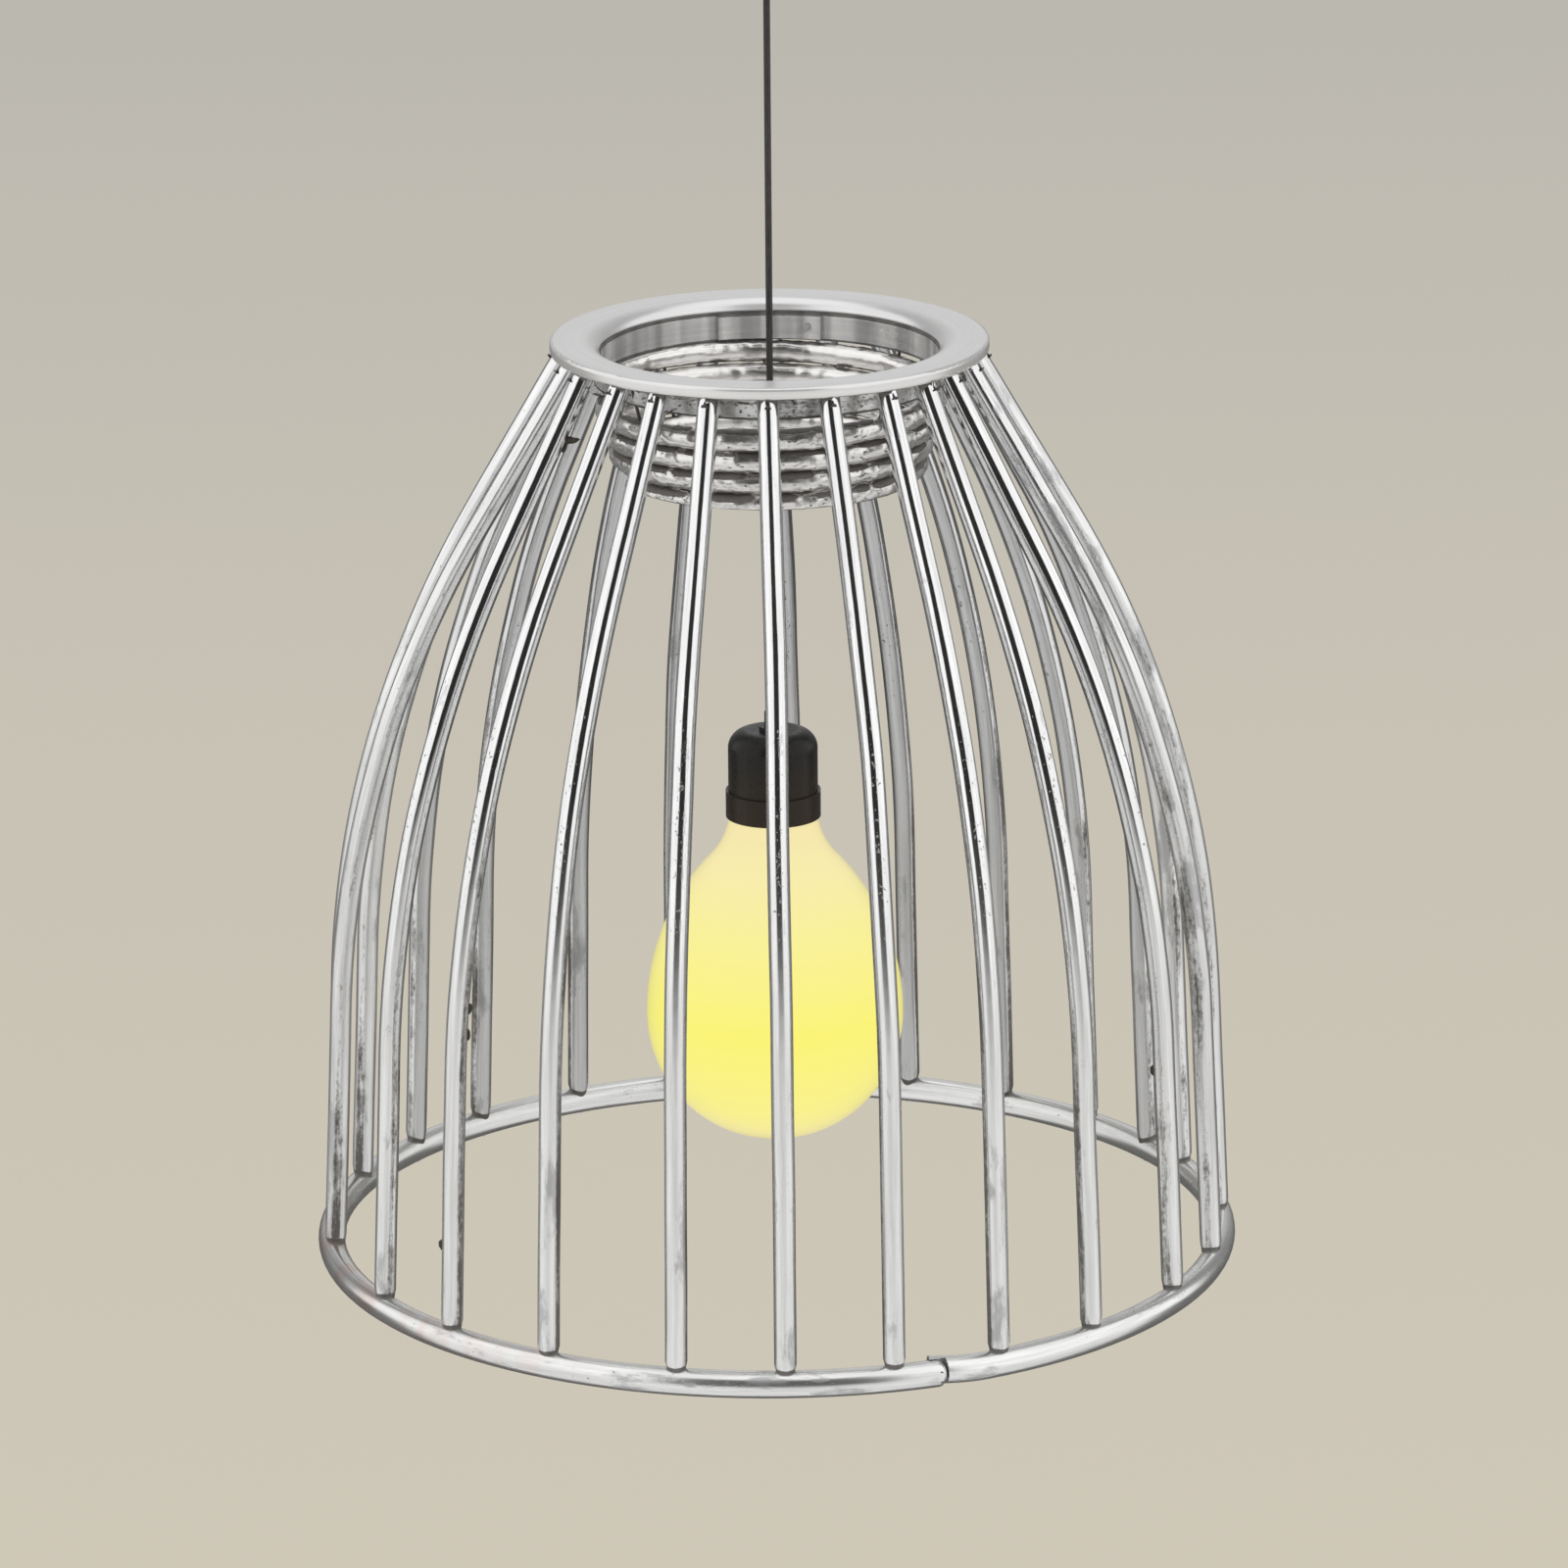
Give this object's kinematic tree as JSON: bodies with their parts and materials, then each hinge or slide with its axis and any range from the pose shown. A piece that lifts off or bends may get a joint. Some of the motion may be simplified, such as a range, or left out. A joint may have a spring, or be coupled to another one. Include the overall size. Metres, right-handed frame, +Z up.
{
  "type": "cage pendant lampshade",
  "caption": "Bell-shaped open cage lampshade of bent silver-painted canes, hung by a thin cord from a ceiling cup, with a black lampholder and a large opal globe bulb inside.",
  "frame": {"origin": "centre of the ceiling cup's top face, where it meets the ceiling", "axes": "+Z up along the cord, -Y towards the front, +X to the right seen from the front"},
  "size_m": [0.45, 0.4499, 0.6595],
  "materials": {
    "silver_cane": "bent cane under worn silver paint, bright and glossy near the top, paler and duller lower down",
    "silver_wood": "smooth wood under pale silver paint",
    "silver_collar": "rough wound cane under silver paint with brownish gaps",
    "dark_brads": "darkened steel",
    "bright_steel": "zinc plated",
    "brass": "plain",
    "black_plastic": "moulded, half gloss",
    "black_cord": "smooth round cord",
    "black_cup": "satin paint",
    "pale_insert": "glazed insulator",
    "opal_glass": "opal glass globe, lit from within"
  },
  "bodies": {
    "root": {"bar_nipple": "brass", "bulb": "opal_glass", "ceiling_cup": "black_cup", "centre_contact": "brass", "collar_coil": "silver_collar", "collar_nails": "bright_steel", "cord": "black_cord", "cord_grip": "black_plastic", "cord_grip_screw": "bright_steel", "crossbar": "bright_steel", "crossbar_screws": "bright_steel", "cup_bracket": "bright_steel", "cup_gland": "black_plastic", "cup_gland_screw": "bright_steel", "cup_screws": "bright_steel", "foot_nails": "bright_steel", "foot_ring": "silver_cane", "holder_cap": "black_plastic", "holder_gland": "black_plastic", "holder_gland_screw": "bright_steel", "holder_shell": "black_plastic", "lap_brads": "bright_steel", "lap_pin": "bright_steel", "neck_band": "silver_wood", "nipple_nuts": "brass", "rib_01": "silver_cane", "rib_02": "silver_cane", "rib_03": "silver_cane", "rib_04": "silver_cane", "rib_05": "silver_cane", "rib_06": "silver_cane", "rib_07": "silver_cane", "rib_08": "silver_cane", "rib_09": "silver_cane", "rib_10": "silver_cane", "rib_11": "silver_cane", "rib_12": "silver_cane", "rib_13": "silver_cane", "rib_14": "silver_cane", "rib_15": "silver_cane", "rib_16": "silver_cane", "rib_17": "silver_cane", "rib_18": "silver_cane", "rib_19": "silver_cane", "rib_20": "silver_cane", "rib_21": "silver_cane", "rib_22": "silver_cane", "rib_23": "silver_cane", "rib_24": "silver_cane", "rib_top_brads": "dark_brads", "socket_insert": "pale_insert", "terminal_block": "pale_insert", "terminal_screws": "brass", "thread_sleeve": "brass", "top_ring": "silver_wood"}
  },
  "joints": []
}
